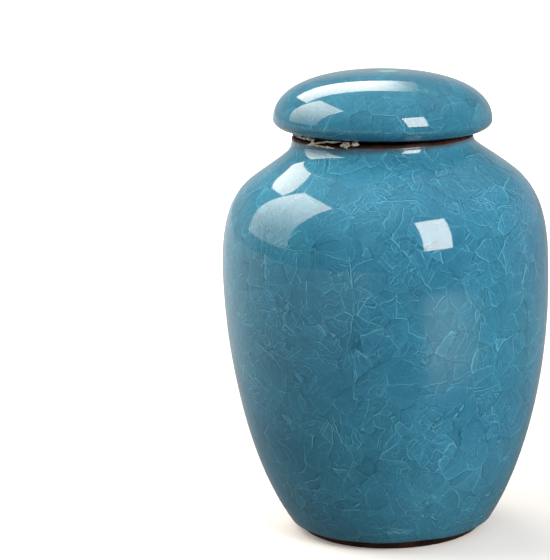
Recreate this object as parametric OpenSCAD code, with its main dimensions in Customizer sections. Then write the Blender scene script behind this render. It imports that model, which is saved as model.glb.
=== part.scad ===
// Lidded keepsake urn: a thrown stoneware jar and its loose domed lid.
// Millimetres, +Z up, origin at the centre of the foot ring's underside.

/* [Jar] */
// Widest outer diameter, at the belly
belly_d = 120; // [100:1:150]
// Height of the widest part above the ground
belly_z = 97.3; // [80:0.1:115]
// Height of the jar to the top of its lip
jar_h = 147.6; // [130:0.2:180]
// Thickness of the thrown wall
jar_wall = 4.2; // [3:0.1:7]
// Share of the way out from the neck to the belly where the shoulder turns
turn_out = 0.565; // [0.4:0.005:0.75]
// How far below the lip the shoulder turns into the neck
turn_drop = 14.6; // [10:0.1:22]

/* [Neck and mouth] */
// Outer diameter of the neck at the top of the glaze
neck_d = 66.4; // [56:0.2:84]
// Width of the lip, from the neck's outside to the mouth
lip_w = 4.8; // [4:0.1:8]
// Height of the bare clay above the glaze
lip_bare_h = 1.2; // [0.8:0.1:3]
// Radius on both edges of the lip
lip_round = 0.9; // [0.4:0.1:1.5]

/* [Foot] */
// Diameter of the circle the urn stands on
foot_d = 66.4; // [54:0.2:82]
// Width of the flat ring it stands on
foot_ring_w = 5.6; // [3:0.1:10]
// Height of the bare clay band round the foot
foot_band_h = 3.8; // [2:0.1:6]
// How far the band leans out from the ground up to the glaze
foot_lean = 2.9; // [1:0.1:5]
// How far the glaze rolls out past the band
glaze_roll = 1.6; // [0.5:0.1:3]
// Height of that rolled glaze edge
glaze_roll_h = 0.8; // [0.3:0.1:1.5]
// Depth of the recess under the base
recess_h = 2.4; // [1:0.1:4]
// Thickness of the base in the middle
floor_t = 5.6; // [4:0.1:10]

/* [Lid] */
// How far the lid's rim stands out past the neck
lid_overhang = 6.8; // [4:0.1:12]
// Height of the lid above its seat
lid_h = 22.2; // [16:0.1:32]
// Height of the lid's widest edge above its seat
lid_edge_h = 5.7; // [4.5:0.1:8]
// Thickness of the lid's wall
lid_wall = 4.2; // [3:0.1:5]
// How far the locating flange reaches down into the mouth
flange_h = 8; // [5:0.5:14]
// Thickness of the flange
flange_w = 3.2; // [2:0.1:5]
// Clearance all round between the flange and the mouth
flange_gap = 1.6; // [0.8:0.1:3]
// Angle by which the lid sits askew, high on the left
lid_tilt = 1.7; // [0:0.1:2.5]
// Clearance where the lid touches the lip
seat_gap = 0.1; // [0.05:0.05:0.5]

/* [Hidden] */
$fn = 96;
curve_steps = 14;
// Radius of the flat spot in the middle of the base, the lid's top and its hollow
crown_r = 3;

// Radii and heights that both pieces share
belly_r = belly_d / 2;
neck_r = neck_d / 2;
mouth_r = neck_r - lip_w;
lip_flat_r = neck_r - lip_round;
glaze_top_z = jar_h - lip_bare_h;

// Foot and base
foot_r = foot_d / 2;
band_top_r = foot_r + foot_lean;
glaze_foot_r = band_top_r + glaze_roll;
ring_in_r = foot_r - foot_ring_w;
recess_bevel = recess_h / 2;
floor_z = recess_h + floor_t;
wall_start = 0.18;

// Where the shoulder turns into the neck, and the direction it runs there
turn_r = neck_r + turn_out * (belly_r - neck_r);
turn_z = jar_h - turn_drop;
turn_pull = [0.92 * (belly_r - turn_r), -0.223 * (turn_z - belly_z)];
turn_dir = turn_pull / norm(turn_pull);
neck_pull = 0.72 * norm([turn_r - neck_r, glaze_top_z - turn_z]);

// Lid
lid_r = neck_r + lid_overhang;
lid_seat_r = lip_flat_r;
flange_r = mouth_r - flange_gap;
flange_in_r = flange_r - flange_w;
hollow_r = lid_r - lid_wall;
hollow_floor = lid_wall;
hollow_top = lid_h - lid_wall;
hollow_edge_h = max(lid_edge_h, hollow_floor + 0.5);

// Curves, as four control points each: foot to belly, belly to shoulder's turn, turn to neck
body_curve = [
    [glaze_foot_r, foot_band_h],
    [glaze_foot_r + 0.565 * (belly_r - glaze_foot_r), foot_band_h + 0.205 * (belly_z - foot_band_h)],
    [belly_r, belly_z - 0.42 * (belly_z - foot_band_h)],
    [belly_r, belly_z]
];
shoulder_curve = [
    [belly_r, belly_z],
    [belly_r, belly_z + 0.374 * (turn_z - belly_z)],
    [turn_r, turn_z] + turn_pull,
    [turn_r, turn_z]
];
neck_curve = [
    [turn_r, turn_z],
    [turn_r, turn_z] - neck_pull * turn_dir,
    [neck_r, glaze_top_z - 0.3 * (glaze_top_z - turn_z)],
    [neck_r, glaze_top_z]
];

// The lid's curves: seat to rim, rim to the top, and the same two for the hollow
rim_curve = [
    [lid_seat_r, 0],
    [lid_seat_r + 0.81 * (lid_r - lid_seat_r), 0.137 * lid_edge_h],
    [lid_r, 0.73 * lid_edge_h],
    [lid_r, lid_edge_h]
];
dome_curve = [
    [lid_r, lid_edge_h],
    [lid_r, lid_edge_h + 0.676 * (lid_h - lid_edge_h)],
    [0.57 * lid_r, lid_h],
    [crown_r, lid_h]
];
hollow_rim_curve = [
    [flange_in_r + 1, hollow_floor],
    [hollow_r - 1.5, hollow_floor],
    [hollow_r, hollow_floor],
    [hollow_r, hollow_edge_h]
];
hollow_dome_curve = [
    [hollow_r, hollow_edge_h],
    [hollow_r, hollow_edge_h + 0.676 * (hollow_top - hollow_edge_h)],
    [0.57 * hollow_r, hollow_top],
    [crown_r, hollow_top]
];

// Point and direction of a cubic curve at t, from 0 to 1
function along(c, t) =
    pow(1 - t, 3) * c[0] + 3 * t * pow(1 - t, 2) * c[1] + 3 * t * t * (1 - t) * c[2] + pow(t, 3) * c[3];
function heading(c, t) =
    pow(1 - t, 2) * (c[1] - c[0]) + 2 * t * (1 - t) * (c[2] - c[1]) + t * t * (c[3] - c[2]);

// Points of a curve after its first one, and of the same curve run from its far end
function stretch(c) = [for (i = [1 : curve_steps]) along(c, i / curve_steps)];
function stretch_back(c) = [for (i = [curve_steps - 1 : -1 : 0]) along(c, i / curve_steps)];

// A curve moved in by the wall's thickness, which may change on the way, run back from its far end
// and stopping short of the point where the next stretch begins
function inside(c, t, wall) =
    let (d = heading(c, t), n = norm(d)) along(c, t) + wall * [-d[1], d[0]] / n;
function inner_stretch(c, wall, wall_end, from = 0) =
    [for (i = [curve_steps : -1 : 1])
        let (t = from + (1 - from) * i / curve_steps) inside(c, t, wall + (wall_end - wall) * t)];

// Points of an arc about a centre, from one angle to another
function arc_points(centre, r, a0, a1, steps = 4) =
    [for (i = [0 : steps]) let (a = a0 + (a1 - a0) * i / steps) centre + r * [cos(a), sin(a)]];

// Half section of the jar, outside from the ground up and inside from the mouth down
function jar_outline() =
    let (
        wall_foot = inside(body_curve, wall_start, jar_wall),
        wall_dir = heading(body_curve, wall_start),
        floor_curve = [
            wall_foot,
            wall_foot - 0.7 * (wall_foot[1] - floor_z) * wall_dir / wall_dir[1],
            [0.6 * wall_foot[0], floor_z],
            [crown_r, floor_z]
        ]
    )
    concat(
        [
            [0, recess_h],
            [ring_in_r - recess_bevel, recess_h],
            [ring_in_r, 0],
            [foot_r, 0],
            [band_top_r, foot_band_h - glaze_roll_h],
            [glaze_foot_r, foot_band_h]
        ],
        stretch(body_curve),
        stretch(shoulder_curve),
        stretch(neck_curve),
        arc_points([lip_flat_r, jar_h - lip_round], lip_round, 0, 90),
        arc_points([mouth_r + lip_round, jar_h - lip_round], lip_round, 90, 180),
        inner_stretch(neck_curve, jar_wall, lip_w),
        inner_stretch(shoulder_curve, jar_wall, jar_wall),
        inner_stretch(body_curve, jar_wall, jar_wall, wall_start),
        [wall_foot],
        stretch(floor_curve),
        [[0, floor_z]]
    );

// Half section of the lid above its seat, with the flange hanging below it
function lid_outline() =
    let (tip = flange_w / 2)
    concat(
        [[flange_r, 0], [lid_seat_r, 0]],
        stretch(rim_curve),
        stretch(dome_curve),
        [[0, lid_h], [0, hollow_top], hollow_dome_curve[3]],
        stretch_back(hollow_dome_curve),
        stretch_back(hollow_rim_curve),
        [[flange_in_r, hollow_floor - 1]],
        arc_points([flange_in_r + tip, tip - flange_h], tip, 180, 360, 6)
    );

module jar() {
    color("#3d84a3")
        rotate_extrude() polygon(jar_outline());
}

module lid() {
    color("#3f8fa8")
        translate([lip_flat_r, 0, jar_h + seat_gap]) rotate([0, lid_tilt, 0]) translate([-lip_flat_r, 0, 0])
            rotate_extrude() polygon(lid_outline());
}

jar();
lid();
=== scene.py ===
import math
import random

import bmesh
import bpy
from mathutils import Matrix, Vector, noise


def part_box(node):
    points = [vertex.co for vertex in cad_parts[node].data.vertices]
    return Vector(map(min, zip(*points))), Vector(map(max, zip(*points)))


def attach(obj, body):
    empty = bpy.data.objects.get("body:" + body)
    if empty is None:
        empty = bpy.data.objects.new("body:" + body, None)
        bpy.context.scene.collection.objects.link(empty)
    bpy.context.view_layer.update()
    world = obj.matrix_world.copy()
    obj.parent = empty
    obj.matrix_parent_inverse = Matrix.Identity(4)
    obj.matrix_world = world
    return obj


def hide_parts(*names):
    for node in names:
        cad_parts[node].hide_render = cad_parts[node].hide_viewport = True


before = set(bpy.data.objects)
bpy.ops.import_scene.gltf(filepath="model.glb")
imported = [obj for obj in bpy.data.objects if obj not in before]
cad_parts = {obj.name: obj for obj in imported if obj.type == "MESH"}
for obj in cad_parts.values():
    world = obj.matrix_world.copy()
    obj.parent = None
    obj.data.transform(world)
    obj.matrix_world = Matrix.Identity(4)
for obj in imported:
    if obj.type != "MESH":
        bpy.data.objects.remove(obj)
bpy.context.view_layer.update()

mm = 0.001

# where things are, from the frame
jarLow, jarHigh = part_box("jar")
lidLow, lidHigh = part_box("lid")
lipZ = jarHigh.z
bellyRadius = (jarHigh.x - jarLow.x) / 2
lidRadius = (lidHigh.y - lidLow.y) / 2


def mixPoint(a, b, t):
    return (a[0] + (b[0] - a[0]) * t, a[1] + (b[1] - a[1]) * t)


def curvePoint(c, t):
    row = list(c)
    while len(row) > 1:
        row = [mixPoint(row[i], row[i + 1], t) for i in range(len(row) - 1)]
    return row[0]


def curveHeading(c, t):
    ahead, behind = curvePoint(c, min(1, t + 1e-3)), curvePoint(c, max(0, t - 1e-3))
    d = (ahead[0] - behind[0], ahead[1] - behind[1])
    n = math.hypot(*d)
    return (d[0] / n, d[1] / n)


def along(c, steps, coat, back=False):
    ts = [i / steps for i in range(1, steps + 1)]
    if back:
        ts = [1 - t for t in ts]
    return [(*curvePoint(c, t), coat) for t in ts]


def inside(c, wall, t):
    p, d = curvePoint(c, t), curveHeading(c, t)
    return (p[0] - wall * d[1], p[1] + wall * d[0])


def lineTo(start, end, steps, coat):
    return [(*mixPoint(start, end, i / steps), coat) for i in range(1, steps + 1)]


def arc(centre, radius, fromDeg, toDeg, steps, coat):
    points = []
    for i in range(steps + 1):
        a = math.radians(fromDeg + (toDeg - fromDeg) * i / steps)
        points.append((centre[0] + radius * math.cos(a), centre[1] + radius * math.sin(a), coat))
    return points


def bump(x, middle, width):
    return math.exp(-((x - middle) / width) ** 2)


def throwPot(name, outline, around, shape, materials):
    # outline is (radius, height, coat), from the axis to the axis. shape moves each point for hand work
    verts, faces, slots, depths = [], [], [], []
    rings = []
    for (r, z, coat), depth in zip(outline, glazeDepths(outline)):
        depths += [depth] * (around if r > 0 else 1)
        if r == 0:
            rings.append([len(verts)])
            verts.append(shape(r, z, 0, coat))
            continue
        rings.append(list(range(len(verts), len(verts) + around)))
        for k in range(around):
            a = 2 * math.pi * k / around
            verts.append(shape(r, z, a, coat))
    for i in range(len(rings) - 1):
        low, high, coat = rings[i], rings[i + 1], outline[i + 1][2]
        for k in range(around):
            n = (k + 1) % around
            if len(low) == 1:
                faces.append((low[0], high[n], high[k]))
            elif len(high) == 1:
                faces.append((low[k], low[n], high[0]))
            else:
                faces.append((low[k], low[n], high[n], high[k]))
            slots.append(coat)
    mesh = bpy.data.meshes.new(name)
    mesh.from_pydata(verts, [], faces)
    mesh.polygons.foreach_set("material_index", slots)
    mesh.polygons.foreach_set("use_smooth", [True] * len(faces))
    mesh.attributes.new("edgeDepth", "FLOAT", "POINT").data.foreach_set("value", depths)
    for material in materials:
        mesh.materials.append(material)
    mesh.update()
    piece = bpy.data.objects.new(name, mesh)
    bpy.context.scene.collection.objects.link(piece)
    return piece


def glazeDepths(outline):
    # how far each point of the outline lies from the nearest edge of the glaze, along the surface
    run = [0.0]
    for p, q in zip(outline, outline[1:]):
        run.append(run[-1] + math.dist(p[:2], q[:2]))
    edges = [run[i] for i in range(len(outline) - 1) if outline[i][2] != outline[i + 1][2]]
    return [min([0.02] + [abs(here - edge) for edge in edges]) for here in run]


def newMaterial(name):
    material = bpy.data.materials.new(name)
    material.use_nodes = True
    tree = material.node_tree
    tree.nodes.clear()
    return material, tree


def put(tree, kind, settings=None, **sockets):
    node = tree.nodes.new("ShaderNode" + kind)
    for key, value in (settings or {}).items():
        setattr(node, key, value)
    for key, value in sockets.items():
        socket = node.inputs[int(key[1:])] if key[0] == "i" and key[1:].isdigit() else node.inputs[key]
        if isinstance(value, bpy.types.NodeSocket):
            tree.links.new(value, socket)
        else:
            socket.default_value = value
    return node


def maths(tree, operation, a, b=0.0, clamp=False):
    return put(tree, "Math", {"operation": operation, "use_clamp": clamp}, i0=a, i1=b).outputs[0]


def vectorMaths(tree, operation, a, b=(0, 0, 0)):
    node = put(tree, "VectorMath", {"operation": operation}, i0=a, i1=b)
    return node.outputs["Value" if operation in ("DOT_PRODUCT", "LENGTH") else "Vector"]


def remap(tree, value, low, high, toLow=0.0, toHigh=1.0, smooth=True):
    settings = {"interpolation_type": "SMOOTHSTEP" if smooth else "LINEAR", "clamp": True}
    return put(tree, "MapRange", settings, i0=value, i1=low, i2=high, i3=toLow, i4=toHigh).outputs[0]


def blendColour(tree, mode, share, a, b):
    settings = {"data_type": "RGBA", "blend_type": mode, "clamp_result": False}
    return put(tree, "Mix", settings, i0=share, i6=a, i7=b).outputs[2]


def noiseAt(tree, vector, scale, detail=2.0, rough=0.5, output="Fac"):
    node = put(tree, "TexNoise", None, Vector=vector, Scale=scale, Detail=detail, Roughness=rough)
    return node.outputs[output]


def stretchCoords(tree, vector, sizes, shift=(0, 0, 0)):
    return put(tree, "Mapping", None, Vector=vector, Location=shift, Scale=sizes).outputs[0]


def product(tree, a, b):
    return maths(tree, "MULTIPLY", a, b)


def total(tree, a, b):
    return maths(tree, "ADD", a, b)


def centred(tree, colour):
    return vectorMaths(tree, "SUBTRACT", colour, (0.5, 0.5, 0.5))


def scaled(tree, vector, amount):
    return put(tree, "VectorMath", {"operation": "SCALE"}, i0=vector, Scale=amount).outputs[0]


def warp(tree, vector, scale, amount):
    wobble = centred(tree, noiseAt(tree, vector, scale, 1.0, output="Color"))
    return vectorMaths(tree, "ADD", vector, scaled(tree, wobble, amount))


def cells(tree, vector, size, feature="F1"):
    return put(tree, "TexVoronoi", {"feature": feature}, Vector=vector, Scale=1 / size)


crackle = {
    "plateSize": 8.6 * mm,
    "slabSize": 30 * mm,
    "chipSize": 4.6 * mm,
    "terraces": 7.5,
    "chipTerraces": 6.0,
    "lineWidth": 0.38 * mm,
    "farSide": 0.35,
    "terraceStep": 0.7,
    "plateStep": 1.7,
    "slabStep": 1.6,
    "chipStep": 0.5,
    "kink": (300, 0.9 * mm),
    "bend": (60, 4 * mm),
    "slabStretch": (1.2, 1.2, 0.6),
    "terraceScale": 52,
    "chipScale": 150,
    "crowdScale": 62,
    "crowdRange": (0.38, 0.56),
    "rimWidth": 0.2,
    "rimBias": 0.08,
}


def crackGroup():
    # the glaze lies in plates, each stepped like a shell. Its height changes by a jump at every crack
    group = bpy.data.node_groups.new("iceCracks", "ShaderNodeTree")
    group.interface.new_socket("Point", in_out="INPUT", socket_type="NodeSocketVector")
    for name in ("Height", "Terrace", "Chip", "Slope", "Rim"):
        group.interface.new_socket(name, in_out="OUTPUT", socket_type="NodeSocketFloat")
    group.interface.new_socket("Facing", in_out="OUTPUT", socket_type="NodeSocketVector")
    point = group.nodes.new("NodeGroupInput").outputs[0]
    out = group.nodes.new("NodeGroupOutput")
    kinked = warp(group, point, *crackle["kink"])
    bent = warp(group, kinked, *crackle["bend"])
    slab = cells(group, stretchCoords(group, bent, crackle["slabStretch"]), crackle["slabSize"])
    plate = cells(group, bent, crackle["plateSize"])
    chip = cells(group, kinked, crackle["chipSize"])
    # each plate leans its own way, and its painted shading follows the lean
    facing = vectorMaths(group, "NORMALIZE", centred(group, plate.outputs["Color"]))
    fromMiddle = vectorMaths(group, "SUBTRACT", bent, plate.outputs["Position"])
    slope = product(group, vectorMaths(group, "DOT_PRODUCT", fromMiddle, facing), 1 / crackle["plateSize"])
    # and has steps of its own, so they break off at its edge
    apart = vectorMaths(group, "ADD", plate.outputs["Color"], slab.outputs["Color"])
    terrace = noiseAt(group, vectorMaths(group, "ADD", kinked, apart), crackle["terraceScale"], 0.0)
    terrace = product(group, terrace, crackle["terraces"])
    apart = vectorMaths(group, "ADD", kinked, chip.outputs["Color"])
    chipped = product(group, noiseAt(group, apart, crackle["chipScale"], 0.0), crackle["chipTerraces"])
    crowded = remap(group, noiseAt(group, point, crackle["crowdScale"], 1.0), *crackle["crowdRange"])
    height = product(group, maths(group, "FLOOR", terrace), crackle["terraceStep"])
    for cell, step in ((plate, crackle["plateStep"]), (slab, crackle["slabStep"])):
        height = total(group, height, product(group, redOf(group, cell), step))
    chipHeight = product(group, maths(group, "FLOOR", chipped), crackle["chipStep"])
    chipHeight = total(group, chipHeight, redOf(group, chip))
    height = total(group, height, product(group, chipHeight, crowded))
    # painted highlight and painted shade: a plate's edge is pale on the side that faces up and dark on the
    # other
    edge = cells(group, bent, crackle["plateSize"], "DISTANCE_TO_EDGE").outputs["Distance"]
    rim = remap(group, edge, 0.0, crackle["rimWidth"], 1.0, 0.0, smooth=False)
    rim = product(group, maths(group, "POWER", rim, 2.0), total(group, slope, crackle["rimBias"]))
    results = {
        "Height": height,
        "Terrace": maths(group, "FRACT", terrace),
        "Chip": product(group, maths(group, "FRACT", chipped), crowded),
        "Facing": facing,
        "Slope": slope,
        "Rim": rim,
    }
    for name, value in results.items():
        group.links.new(value, out.inputs[name])
    return group


def redOf(tree, cell):
    return put(tree, "SeparateColor", None, Color=cell.outputs["Color"]).outputs[0]


def crackAt(tree, group, point):
    node = tree.nodes.new("ShaderNodeGroup")
    node.node_tree = group
    tree.links.new(point, node.inputs[0])
    return node


glazeLook = {
    "deep": (0.026, 0.162, 0.276, 1),
    "clear": (0.044, 0.222, 0.356, 1),
    "green": (0.034, 0.198, 0.306, 1),
    # line is the painted highlight along the cracks, shade the painted shade beside them
    "line": (0.20, 0.58, 0.74, 1),
    "shade": (0.006, 0.080, 0.145, 1),
    "thin": (0.085, 0.062, 0.060, 1),
    "pool": (0.16, 0.55, 0.50, 1),
    "gloss": 0.045,
    # painted shading on the plates, by their slope, steps, chips and edges
    "slopeShading": 0.07,
    "terraceShading": 0.11,
    "chipShading": 0.17,
    "rimShading": 0.30,
    "mottle": (0.98, 1.06),
    "grain": 0.12,
    "highlightShare": 0.36,
    "shadeShare": 0.42,
    "thinDepth": 2.6 * mm,
    "thinShare": 0.78,
    "raggedness": 2.4 * mm,
    "poolSize": (1.5 * mm, 5.5 * mm),
    "poolShare": 0.85,
}


def grey(tree, value):
    return put(tree, "CombineColor", None, Red=value, Green=value, Blue=value).outputs[0]


def oneSided(tree, near, far):
    # a step drawn in full on its own side and weakly on the other, for the painted highlight and the painted
    # shade
    mirror = product(tree, maths(tree, "MINIMUM", far, 0.0), crackle["farSide"])
    return maths(tree, "SUBTRACT", maths(tree, "MAXIMUM", near, 0.0), mirror)


def shadingAndMottle(tree, point, here, paintedShadeScale):
    # painted shading on each plate's slope, edge, steps and chips, with random mottle and grain
    tone = product(tree, here.outputs["Slope"], glazeLook["slopeShading"])
    tone = total(tree, tone, product(tree, here.outputs["Rim"], glazeLook["rimShading"]))
    for name, power, share in (("Terrace", 4.0, "terraceShading"), ("Chip", 2.0, "chipShading")):
        step = maths(tree, "POWER", here.outputs[name], power)
        tone = total(tree, tone, product(tree, step, glazeLook[share]))
    mottle = remap(tree, noiseAt(tree, point, 420, 3.0, 0.6), 0.3, 0.7, *glazeLook["mottle"], smooth=False)
    grain = glazeLook["grain"]
    grains = remap(tree, noiseAt(tree, point, 1500, 2.0, 0.7), 0.3, 0.7, -grain, grain, smooth=False)
    return product(tree, total(tree, total(tree, tone, mottle), grains), paintedShadeScale)


def glazeMaterial(name, group, poolAt=None, greener=0.0, paintedShadeScale=1.0, crackShare=1.0):
    material, tree = newMaterial(name)
    point = put(tree, "TexCoord").outputs["Object"]
    # broad drifts of tone and hue
    drift = remap(tree, noiseAt(tree, point, 14, 2.0), 0.32, 0.68)
    colour = blendColour(tree, "MIX", drift, glazeLook["deep"], glazeLook["clear"])
    elsewhere = stretchCoords(tree, point, (1, 1, 1), (0.5, 0.2, 0.1))
    hue = remap(tree, noiseAt(tree, elsewhere, 22, 2.0), 0.40, 0.66, greener, min(1.0, greener + 0.6))
    colour = blendColour(tree, "MIX", hue, colour, glazeLook["green"])
    # the cracks here, and a line's width to either side
    here = crackAt(tree, group, point)
    reach = scaled(tree, here.outputs["Facing"], crackle["lineWidth"])
    ahead = crackAt(tree, group, vectorMaths(tree, "ADD", point, reach))
    behind = crackAt(tree, group, vectorMaths(tree, "SUBTRACT", point, reach))
    rise = maths(tree, "SUBTRACT", ahead.outputs["Height"], here.outputs["Height"])
    fall = maths(tree, "SUBTRACT", here.outputs["Height"], behind.outputs["Height"])
    seen = product(tree, remap(tree, noiseAt(tree, point, 85, 1.0), 0.34, 0.56, 0.40, 1.0), crackShare)
    light = maths(tree, "MULTIPLY", oneSided(tree, rise, fall), seen, True)
    dark = maths(tree, "MULTIPLY", oneSided(tree, fall, rise), seen, True)
    tone = shadingAndMottle(tree, point, here, paintedShadeScale)
    colour = blendColour(tree, "MULTIPLY", 1.0, colour, grey(tree, tone))
    # painted highlight: a pale line along each jump, with painted shade on its dark side; where the cracks
    # run is the glaze's own pattern
    for amount, share, tint in ((dark, "shadeShare", "shade"), (light, "highlightShare", "line")):
        colour = blendColour(tree, "MIX", product(tree, amount, glazeLook[share]), colour, glazeLook[tint])
    # thin glaze near its edges lets the clay show
    settings = {"attribute_name": "edgeDepth", "attribute_type": "GEOMETRY"}
    depth = put(tree, "Attribute", settings).outputs["Fac"]
    stray = maths(tree, "SUBTRACT", noiseAt(tree, point, 260, 3.0), 0.5)
    ragged = total(tree, depth, product(tree, stray, glazeLook["raggedness"]))
    thin = remap(tree, ragged, 0.0, glazeLook["thinDepth"], glazeLook["thinShare"], 0.0)
    colour = blendColour(tree, "MIX", thin, colour, glazeLook["thin"])
    if poolAt:
        away = warp(tree, vectorMaths(tree, "SUBTRACT", point, poolAt), 160, 3 * mm)
        away = vectorMaths(tree, "LENGTH", stretchCoords(tree, away, (1, 1.5, 0.2)))
        pool = remap(tree, away, *glazeLook["poolSize"], glazeLook["poolShare"], 0.0)
        colour = blendColour(tree, "MIX", pool, colour, glazeLook["pool"])
    # gloss with a faint orange peel, and cracks that only just catch the light
    gloss = glazeLook["gloss"]
    rough = remap(tree, noiseAt(tree, point, 300, 2.0), 0.3, 0.7, gloss * 0.8, gloss * 1.5)
    rough = total(tree, rough, product(tree, thin, 0.05))
    height = total(tree, noiseAt(tree, point, 55, 2.0), product(tree, light, -0.02))
    relief = put(tree, "Bump", None, Strength=0.12, Distance=0.6 * mm, Height=height).outputs[0]
    shader = put(tree, "BsdfPrincipled", None, Roughness=rough, Normal=relief, IOR=1.5)
    tree.links.new(colour, shader.inputs["Base Color"])
    tree.links.new(shader.outputs[0], put(tree, "OutputMaterial").inputs["Surface"])
    return material


clayLook = {
    "dark": (0.018, 0.006, 0.004, 1),
    "warm": (0.072, 0.023, 0.012, 1),
    "grit": (0.14, 0.065, 0.038, 1),
}


def clayMaterial(name):
    material, tree = newMaterial(name)
    point = put(tree, "TexCoord").outputs["Object"]
    burnt = remap(tree, noiseAt(tree, point, 110, 4.0, 0.6), 0.35, 0.68)
    colour = blendColour(tree, "MIX", burnt, clayLook["dark"], clayLook["warm"])
    specks = remap(tree, cells(tree, point, 0.9 * mm).outputs["Distance"], 0.05, 0.22, 1.0, 0.0)
    specks = product(tree, specks, remap(tree, noiseAt(tree, point, 500, 1.0), 0.5, 0.62))
    colour = blendColour(tree, "MIX", product(tree, specks, 0.6), colour, clayLook["grit"])
    turning = noiseAt(tree, stretchCoords(tree, point, (1, 1, 9)), 180, 3.0)
    height = total(tree, turning, product(tree, noiseAt(tree, point, 1500, 3.0, 0.7), 0.6))
    relief = put(tree, "Bump", None, Strength=0.5, Distance=0.25 * mm, Height=height).outputs[0]
    rough = remap(tree, noiseAt(tree, point, 240, 2.0), 0.3, 0.7, 0.55, 0.82)
    shader = put(tree, "BsdfPrincipled", None, Roughness=rough, Normal=relief, IOR=1.28)
    tree.links.new(colour, shader.inputs["Base Color"])
    tree.links.new(shader.outputs[0], put(tree, "OutputMaterial").inputs["Surface"])
    return material


cracks = crackGroup()
clay = clayMaterial("bareClay")
print("clay and cracks ready")

jar = {
    "neckRadius": 33.2 * mm,
    "lipWidth": 4.8 * mm,
    "lipRound": 0.9 * mm,
    "bareLip": 1.2 * mm,
    "bellyHeight": 97.3 * mm,
    "turnOut": 0.565,
    "turnDrop": 14.6 * mm,
    "wall": 4.2 * mm,
    "footRadius": 33.2 * mm,
    "footRing": 5.6 * mm,
    "footBand": 3.8 * mm,
    "footLean": 2.9 * mm,
    "glazeRoll": 1.6 * mm,
    "recess": 2.4 * mm,
    "floor": 5.6 * mm,
    "glazeStep": 0.22 * mm,
    "around": 288,
    "wobble": 0.22 * mm,
    "shoulderLean": 0.75 * mm,
    "glazeLean": 0.6 * mm,
}
glazeSlot, claySlot = 0, 1


def jarCurves():
    neck, belly = jar["neckRadius"], bellyRadius
    glazeTop = lipZ - jar["bareLip"]
    footEdge = jar["footRadius"] + jar["footLean"] + jar["glazeRoll"]
    band, middle = jar["footBand"], jar["bellyHeight"]
    turn = (neck + jar["turnOut"] * (belly - neck), lipZ - jar["turnDrop"])
    pull = (0.92 * (belly - turn[0]), -0.223 * (turn[1] - middle))
    reach = math.hypot(*pull)
    neckPull = 0.72 * math.hypot(turn[0] - neck, glazeTop - turn[1]) / reach
    body = [(footEdge, band), (footEdge + 0.565 * (belly - footEdge), band + 0.205 * (middle - band)),
            (belly, middle - 0.42 * (middle - band)), (belly, middle)]
    shoulder = [(belly, middle), (belly, middle + 0.374 * (turn[1] - middle)),
                (turn[0] + pull[0], turn[1] + pull[1]), turn]
    flare = [turn, (turn[0] - neckPull * pull[0], turn[1] - neckPull * pull[1]),
             (neck, glazeTop - 0.3 * (glazeTop - turn[1])), (neck, glazeTop)]
    return body, shoulder, flare


def jarOutline():
    body, shoulder, flare = jarCurves()
    glazeTop = lipZ - jar["bareLip"]
    ringIn = jar["footRadius"] - jar["footRing"]
    bandTop = (jar["footRadius"] + jar["footLean"], jar["footBand"] - 0.4 * mm)
    neck, step, rnd = jar["neckRadius"], jar["glazeStep"], jar["lipRound"]
    mouth = neck - jar["lipWidth"]
    recess, floorZ = jar["recess"], jar["recess"] + jar["floor"]
    line = [(0, recess, glazeSlot)]
    ringOut = jar["footRadius"]
    # under the base and over the foot ring, each stretch with its steps and its coat
    turns = [(0, recess), (ringIn - 1.8 * mm, recess), (ringIn - 0.7 * mm, recess - 0.35 * mm),
             (ringIn, 0.35 * mm), (ringIn + 0.4 * mm, 0), (ringOut - 0.5 * mm, 0),
             (ringOut + 0.2 * mm, 0.4 * mm), bandTop]
    coats = (glazeSlot, glazeSlot, claySlot, claySlot, claySlot, claySlot, claySlot)
    for p, q, steps, coat in zip(turns, turns[1:], (14, 3, 4, 2, 5, 2, 8), coats):
        line += lineTo(p, q, steps, coat)
    rollEnd = 0.02
    rollUnder = (bandTop[0] + 0.9 * mm, bandTop[1] - 0.15 * mm)
    rollOver = (body[0][0] - 0.1 * mm, body[0][1] - 0.4 * mm)
    line += along([bandTop, rollUnder, rollOver, curvePoint(body, rollEnd)], 8, glazeSlot)
    line += [(*curvePoint(body, rollEnd + (1 - rollEnd) * i / 60), glazeSlot) for i in range(1, 61)]
    line += along(shoulder, 34, glazeSlot)
    line += along(flare, 34, glazeSlot)
    line += lineTo((neck, glazeTop), (neck - step, glazeTop + 0.18 * mm), 2, glazeSlot)
    line += lineTo((neck - step, glazeTop + 0.18 * mm), (neck - step, lipZ - rnd), 2, claySlot)
    line += arc((neck - step - rnd, lipZ - rnd), rnd, 12, 90, 5, claySlot)
    line += arc((mouth + rnd, lipZ - rnd), rnd, 90, 180, 5, claySlot)
    wall = jar["wall"]
    for i in range(16, 0, -1):
        t = i / 16
        thick = wall + (jar["lipWidth"] - wall) * t
        line.append((*inside(flare, thick, t), claySlot if t > 0.75 else glazeSlot))
    line += [(*inside(shoulder, wall, i / 20), glazeSlot) for i in range(20, 0, -1)]
    start = 0.18
    line += [(*inside(body, wall, start + (1 - start) * i / 30), glazeSlot) for i in range(30, -1, -1)]
    foot, heading = inside(body, wall, start), curveHeading(body, start)
    drop = 0.7 * (foot[1] - floorZ) / heading[1]
    heel = (foot[0] - drop * heading[0], foot[1] - drop * heading[1])
    line += along([foot, heel, (0.6 * foot[0], floorZ), (0, floorZ)], 18, glazeSlot)
    return line


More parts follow.
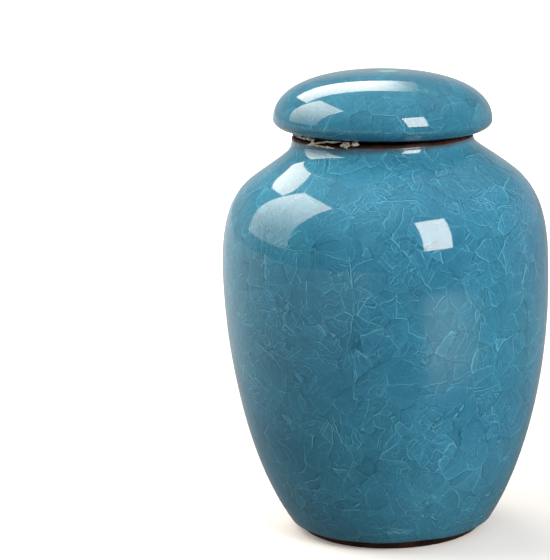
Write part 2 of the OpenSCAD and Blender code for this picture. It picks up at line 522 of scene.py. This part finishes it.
def jarHand(r, z, a, coat):
    # the thrower's hand: a slow wobble, faint rings, a shoulder that leans, and a glaze edge that wanders
    way = Vector((math.cos(a), math.sin(a), 0))
    slow = noise.noise(Vector((way.x * 1.1, way.y * 1.1, z * 26)) + Vector((3.1, 0, 0)))
    rings = noise.noise(Vector((way.x * 0.25, way.y * 0.25, z * 210))) * 0.05 * mm
    rise = min(1, z / (12 * mm)) * min(1, r / (8 * mm))
    r2 = r + rise * (slow * jar["wobble"] + rings)
    edge = bump(z, lipZ - jar["bareLip"], 2.2 * mm) + bump(z, jar["footBand"], 1.6 * mm)
    edge *= min(1, max(0, r - 22 * mm) / (5 * mm))
    wander = noise.noise(Vector((way.x * 2.3, way.y * 2.3, z * 5 + 7))) * 0.45 * mm
    if z > jar["bellyHeight"]:
        wander -= way.x * jar["glazeLean"]
    grit = 0
    if coat == claySlot:
        grit = noise.noise(Vector((way.x * r * 900, way.y * r * 900, z * 900))) * 0.09 * mm
    z2 = z + edge * wander * min(1, z / (2 * mm)) + jar["shoulderLean"] * way.x * bump(z, 139 * mm, 9 * mm)
    if z > lipZ - 1 * mm:
        z2 = min(z2, lipZ)
    return ((r2 + grit) * way.x, (r2 + grit) * way.y, max(0.0, z2 + abs(grit)))


jarGlaze = glazeMaterial("jarGlaze", cracks)
jarPiece = throwPot("glazed_jar", jarOutline(), jar["around"], jarHand, [jarGlaze, clay])
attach(jarPiece, "root")
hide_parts("jar")
print("jar thrown", len(jarPiece.data.polygons))

lid = {
    "height": 22.2 * mm,
    "edgeHeight": 4.4 * mm,
    "wall": 4.2 * mm,
    "flangeDepth": 8 * mm,
    "flangeWidth": 3.2 * mm,
    "flangeGap": 1.6 * mm,
    "tilt": 1.7,
    "seatGap": 0.1 * mm,
    "around": 256,
    "wobble": 0.16 * mm,
}


def lidOutline():
    seat = jar["neckRadius"] - jar["lipRound"]
    top, edge, wide = lid["height"], lid["edgeHeight"], lidRadius
    rim = [(seat, 0), (seat + 0.81 * (wide - seat), 0.137 * edge), (wide, 0.73 * edge), (wide, edge)]
    dome = [(wide, edge), (wide, edge + 0.676 * (top - edge)), (0.57 * wide, top), (0, top)]
    outer = jar["neckRadius"] - jar["lipWidth"] - lid["flangeGap"]
    inner = outer - lid["flangeWidth"]
    wall = lid["wall"]
    hollow = wide - wall
    hollowRim = [(inner + 1 * mm, wall), (hollow - 1.5 * mm, wall), (hollow, wall), (hollow, edge)]
    ceiling = top - wall
    hollowDome = [(hollow, edge), (hollow, edge + 0.676 * (ceiling - edge)),
                  (0.57 * hollow, ceiling), (0, ceiling)]
    tip = lid["flangeWidth"] / 2
    line = [(0, ceiling, claySlot)]
    line += along(hollowDome, 26, claySlot, back=True)
    line += along(hollowRim, 14, claySlot, back=True)
    line += [(inner, wall - 1 * mm, claySlot)]
    line += arc((inner + tip, tip - lid["flangeDepth"]), tip, 180, 360, 10, claySlot)
    line += lineTo((outer, tip - lid["flangeDepth"]), (outer, -0.5 * mm), 4, claySlot)
    line += lineTo((outer, -0.5 * mm), (outer + 0.5 * mm, 0), 2, claySlot)
    line += lineTo((outer + 0.5 * mm, 0), (seat - 0.5 * mm, 0), 5, claySlot)
    line += lineTo((seat - 0.5 * mm, 0), (seat, 0), 1, claySlot)
    line += along(rim, 26, glazeSlot)
    line += along(dome, 60, glazeSlot)
    return line


lidMiddle = Vector((0, 0, lipZ + lid["seatGap"]))
pivot = Vector((jar["neckRadius"] - jar["lipRound"], 0, lipZ + lid["seatGap"]))
lean = Matrix.Rotation(math.radians(lid["tilt"]), 4, "Y")
lidPlace = Matrix.Translation(pivot) @ lean @ Matrix.Translation(-pivot)


def lidHand(r, z, a, coat):
    way = Vector((math.cos(a), math.sin(a), 0))
    slow = noise.noise(Vector((way.x * 1.2, way.y * 1.2, z * 30)) + Vector((9.4, 0, 0))) * lid["wobble"]
    r2 = r + slow * min(1, abs(z) / (3 * mm)) * min(1, r / (8 * mm))
    spot = lidPlace @ (Vector((r2 * way.x, r2 * way.y, z)) + lidMiddle)
    return tuple(spot)


lidTop = lidPlace @ (lidMiddle + Vector((0, 0, lid["height"])))
poolAt = tuple(lidTop + Vector((1.5 * mm, -4 * mm, 0)))
# the lid's copy of the glaze is painted darker, at 0.86 of the jar's tone: painted shade against the light
# from above
lidGlaze = glazeMaterial("lidGlaze", cracks, poolAt, greener=0.1, paintedShadeScale=0.86, crackShare=0.5)
lidPiece = throwPot("glazed_lid", lidOutline(), lid["around"], lidHand, [lidGlaze, clay])
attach(lidPiece, "root")
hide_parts("lid")
print("lid thrown", len(lidPiece.data.polygons))

crumbs = {
    "seat": 33.6 * mm,
    "fringe": (-71, -49),
    "fringeBits": 34,
    "fringeSize": 0.42 * mm,
    "blockSize": (1.7 * mm, 0.9 * mm, 1.15 * mm),
    "shredWide": 1.05 * mm,
    "shredThick": 0.16 * mm,
    "colour": (0.74, 0.70, 0.61, 1),
    "stain": (0.28, 0.21, 0.14, 1),
}


def onSeam(azimuth, out, height):
    # a place by its angle from the front, its distance out from the seat and its height above the lip
    a = math.radians(azimuth)
    r = crumbs["seat"] + out * mm
    return Vector((r * math.sin(a), -r * math.cos(a), lipZ + height * mm))


def addLump(bm, centre, size, turn, seed, rough=0.35):
    # a small torn lump: a ball pushed about by noise
    made = bmesh.ops.create_icosphere(bm, subdivisions=3, radius=1)["verts"]
    for v in made:
        coarse = noise.noise(v.co * 1.6 + Vector((seed, 0, 0)))
        fine = noise.noise(v.co * 4.5 + Vector((0, seed, 0)))
        p = v.co * (1 + coarse * rough + fine * rough * 0.5)
        p = Vector((p.x * size[0], p.y * size[1], p.z * size[2]))
        v.co = centre + Matrix.Rotation(math.radians(turn), 3, "Z") @ p


def addShred(bm, stops, wide, thick, seed):
    # a thin torn strip that twists as it follows its stops
    count = 8 * (len(stops) - 1)
    rings = []
    for i in range(count + 1):
        t = i / count * (len(stops) - 1)
        k = min(int(t), len(stops) - 2)
        p = stops[k].lerp(stops[k + 1], t - k)
        p = p + Vector((0, 0, 0.25 * mm * noise.noise(Vector((i * 0.35, seed, 0)))))
        torn = 0.55 + 0.75 * abs(noise.noise(Vector((i * 0.45, 0, seed)))) + 0.25
        half = wide / 2 * torn * min(1, (count - i) / 5 + 0.15)
        lean = 0.9 + 0.8 * noise.noise(Vector((seed, i * 0.2, 0)))
        out = Vector((p.x, p.y, 0)).normalized()
        up = Vector((0, 0, 1)) * math.cos(lean) + out * math.sin(lean)
        side = out * math.cos(lean) - Vector((0, 0, 1)) * math.sin(lean)
        corners = ((1, 1), (1, -1), (-1, -1), (-1, 1))
        rings.append([bm.verts.new(p + up * half * a + side * thick / 2 * b) for a, b in corners])
    for low, high in zip(rings, rings[1:]):
        for k in range(4):
            bm.faces.new((low[k], low[(k + 1) % 4], high[(k + 1) % 4], high[k]))
    bm.faces.new(rings[0][::-1])
    bm.faces.new(rings[-1])


def crumbMaterial():
    material, tree = newMaterial("driedCrumb")
    point = put(tree, "TexCoord").outputs["Object"]
    stained = remap(tree, noiseAt(tree, point, 900, 3.0), 0.48, 0.66, 0.0, 0.85)
    colour = blendColour(tree, "MIX", stained, crumbs["colour"], crumbs["stain"])
    height = noiseAt(tree, point, 2200, 3.0)
    relief = put(tree, "Bump", None, Strength=0.6, Distance=0.15 * mm, Height=height).outputs[0]
    rough = remap(tree, stained, 0.0, 1.0, 0.9, 0.6)
    shader = put(tree, "BsdfPrincipled", None, Roughness=rough, Normal=relief)
    tree.links.new(colour, shader.inputs["Base Color"])
    tree.links.new(shader.outputs[0], put(tree, "OutputMaterial").inputs["Surface"])
    return material


def makeCrumbs():
    bm = bmesh.new()
    rnd = random.Random(7)
    low, high = crumbs["fringe"]
    for i in range(crumbs["fringeBits"]):
        t = i / (crumbs["fringeBits"] - 1)
        azimuth = low + (high - low) * t
        size = crumbs["fringeSize"] * rnd.uniform(0.6, 1.5)
        out = 0.9 + rnd.uniform(-0.3, 0.3)
        spot = onSeam(azimuth, out, 2.15 - 0.55 * t + rnd.uniform(-0.15, 0.15))
        addLump(bm, spot, (size * 1.5, size, size * rnd.uniform(0.6, 1.1)), azimuth, i * 3.7)
    addLump(bm, onSeam(-25.5, 0.2, 0.35), crumbs["blockSize"], -25, 2.2, 0.5)
    addLump(bm, onSeam(-19.5, 0.3, 0.75), [0.72 * v for v in crumbs["blockSize"]], -15, 5.9, 0.5)
    wide, thick = crumbs["shredWide"], crumbs["shredThick"]
    upright = [(-51, 0.2, 0.0), (-48.5, 0.9, 0.9), (-47.5, 0.8, 2.0)]
    rising = [(-53, 0.4, -0.6), (-47, 0.5, 0.2), (-38, 0.7, 1.1), (-28, 0.6, 1.35)]
    falling = [(-49, 0.3, -0.4), (-42, 0.4, -0.8), (-33, 0.4, -1.0)]
    for stops, share, seed in ((upright, 1.1, 1.5), (rising, 1.0, 4.2), (falling, 0.8, 8.4)):
        addShred(bm, [onSeam(*stop) for stop in stops], wide * share, thick, seed)
    mesh = bpy.data.meshes.new("seam_crumbs")
    bm.to_mesh(mesh)
    bm.free()
    mesh.polygons.foreach_set("use_smooth", [True] * len(mesh.polygons))
    mesh.materials.append(crumbMaterial())
    piece = bpy.data.objects.new("seam_crumbs", mesh)
    bpy.context.scene.collection.objects.link(piece)
    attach(piece, "root")
    return piece


print("crumbs", len(makeCrumbs().data.polygons))

studio = {
    "tableTone": 0.22,
    "tableWhite": 1.0,
    "horizonGlow": 0.42,
    "roomGlow": 0.08,
    "ceilingGlow": 0.34,
    "windowGlow": 14,
    "domeGlow": 6.2,
    "scrimGlow": 4.2,
    "fillGlow": 1.9,
    "warmth": (1.0, 0.94, 0.87),
    # painted light that the glaze sees in the table
    "paintedLitStretch": 1.35,
    "paintedLeftGlow": 0.42,
}


def tableMaterial():
    # pale to the eye. The glaze mirrors it as a painted reflection: a glowing card darker than the table,
    # with a painted lit stretch at the front right and a painted glow at the left
    material, tree = newMaterial("paleTable")
    point = put(tree, "NewGeometry").outputs["Position"]
    flat = put(tree, "SeparateXYZ", None, Vector=point)
    across, back = flat.outputs["X"], flat.outputs["Y"]
    distance = vectorMaths(tree, "LENGTH", point)
    turned = maths(tree, "ARCTAN2", across, maths(tree, "MULTIPLY", back, -1.0))
    litStretch = product(tree, remap(tree, turned, 0.26, 0.50), remap(tree, turned, 0.62, 1.25, 1.0, 0.0))
    litStretch = product(tree, litStretch, remap(tree, distance, 0.13, 0.24))
    litStretch = product(tree, litStretch, remap(tree, distance, 0.45, 0.75, 1.0, 0.0))
    paintedReflection = total(tree, remap(tree, back, -0.15, 0.25, 0.08, 0.40), product(tree, litStretch, studio["paintedLitStretch"]))
    paintedReflection = total(tree, paintedReflection, remap(tree, across, -0.30, 0.02, studio["paintedLeftGlow"], 0.0))
    paths = put(tree, "LightPath").outputs
    diffuse = put(tree, "BsdfDiffuse", None, Color=(studio["tableTone"],) * 3 + (1,)).outputs[0]
    pale = put(tree, "BsdfDiffuse", None, Color=(0.8, 0.8, 0.8, 1)).outputs[0]
    white = remap(tree, distance, 0.1, 0.9, 0.15, studio["tableWhite"])
    glow = put(tree, "Emission", None, Strength=white).outputs[0]
    seen = put(tree, "AddShader", None, i0=pale, i1=glow).outputs[0]
    reflectionGlow = put(tree, "Emission", None, Strength=paintedReflection).outputs[0]
    mixed = put(tree, "MixShader", None, Fac=paths["Is Camera Ray"], i1=diffuse, i2=seen).outputs[0]
    mixed = put(tree, "MixShader", None, Fac=paths["Is Glossy Ray"], i1=mixed, i2=reflectionGlow).outputs[0]
    tree.links.new(mixed, put(tree, "OutputMaterial").inputs["Surface"])
    return material


def stageTable():
    half = 6.0
    mesh = bpy.data.meshes.new("table")
    corners = [(-half, -half, 0), (half, -half, 0), (half, half, 0), (-half, half, 0)]
    mesh.from_pydata(corners, [], [(0, 1, 2, 3)])
    mesh.materials.append(tableMaterial())
    table = bpy.data.objects.new("table", mesh)
    bpy.context.scene.collection.objects.link(table)


def softBox(name, place, aim, size, glow):
    # glow is the box's own brightness, the same at any size
    data = bpy.data.lights.new(name, "AREA")
    data.shape = "RECTANGLE"
    data.size, data.size_y = size
    data.energy = glow * math.pi * size[0] * size[1]
    data.color = studio["warmth"]
    box = bpy.data.objects.new(name, data)
    bpy.context.scene.collection.objects.link(box)
    box.location = place
    box.rotation_euler = (Vector(aim) - Vector(place)).to_track_quat("-Z", "Y").to_euler()
    return box


def around(azimuth, elevation, distance, height):
    # azimuth 0 is towards the camera, positive to the right
    a, e = math.radians(azimuth), math.radians(elevation)
    flat = distance * math.cos(e)
    return (flat * math.sin(a), -flat * math.cos(a), height + distance * math.sin(e))


def shadeLight(light, axis, *ramp):
    # the box's brightness changes along it, by the ends of the ramp and the strength at each
    light.use_nodes = True
    tree = light.node_tree
    tree.nodes.clear()
    place = put(tree, "NewGeometry").outputs["Parametric"]
    place = put(tree, "SeparateXYZ", None, Vector=place).outputs[axis]
    colour = studio["warmth"] + (1,)
    glow = put(tree, "Emission", None, Color=colour, Strength=remap(tree, place, *ramp))
    tree.links.new(glow.outputs[0], put(tree, "OutputLight").inputs["Surface"])


def lightStudio():
    softBox("windowLight", around(34, 25, 1.2, 0.12), (0, 0, 0.12), (0.445, 0.66), studio["windowGlow"])
    # above and behind, fading out towards the right
    dome = softBox("domeLight", (-0.165, 0.71, 0.76), (-0.165, 0.71, 0), (0.73, 0.56), studio["domeGlow"])
    shadeLight(dome.data, "X", 0.72, 1.0, 1.05, 0.1)
    fill = softBox("rightFill", around(62, 28, 1.3, 0.12), (0, 0, 0.08), (0.9, 0.9), studio["fillGlow"])
    fill.visible_glossy = False
    # a leaning screen at the left, brighter towards its top
    facing = Vector((0.857, 0, -0.514))
    middle = Vector((-0.68, 0.085, 0.59))
    scrim = softBox("leftScrim", middle, middle + facing, (0.68, 0.86), studio["scrimGlow"])
    shadeLight(scrim.data, "Y", 0.0, 0.9, 0.45, 1.9)
    world = bpy.data.worlds.new("studio")
    bpy.context.scene.world = world
    world.use_nodes = True
    tree = world.node_tree
    tree.nodes.clear()
    way = put(tree, "SeparateXYZ", None, Vector=put(tree, "TexCoord").outputs["Generated"])
    horizon = remap(tree, maths(tree, "ABSOLUTE", way.outputs["Z"]), 0.15, 0.55, 1.0, 0.0)
    behind = remap(tree, way.outputs["Y"], -0.05, 0.50)
    glow = product(tree, product(tree, horizon, behind), studio["horizonGlow"])
    glow = total(tree, glow, studio["roomGlow"])
    glow = total(tree, glow, remap(tree, way.outputs["Z"], 0.35, 0.85, 0.0, studio["ceilingGlow"]))
    glow = maths(tree, "MAXIMUM", glow, put(tree, "LightPath").outputs["Is Camera Ray"])
    background = put(tree, "Background", None, Color=(1, 1, 1, 1), Strength=glow)
    tree.links.new(background.outputs[0], put(tree, "OutputWorld").inputs["Surface"])


view = {
    "lens": 139.1,
    "place": (-40.88 * mm, -784.5 * mm, 250.97 * mm),
    "lookDown": 11.289,
    "roll": -1.87,
}


def setCamera():
    data = bpy.data.cameras.new("camera")
    data.lens, data.sensor_width = view["lens"], 36
    data.clip_start, data.clip_end = 0.02, 60
    camera = bpy.data.objects.new("camera", data)
    bpy.context.scene.collection.objects.link(camera)
    tip = Matrix.Rotation(math.radians(90 - view["lookDown"]), 4, "X")
    roll = Matrix.Rotation(math.radians(view["roll"]), 4, "Z")
    camera.matrix_world = Matrix.Translation(view["place"]) @ tip @ roll
    bpy.context.scene.camera = camera


stageTable()
lightStudio()
setCamera()
bpy.context.scene.view_settings.view_transform = "Standard"
print("studio set")
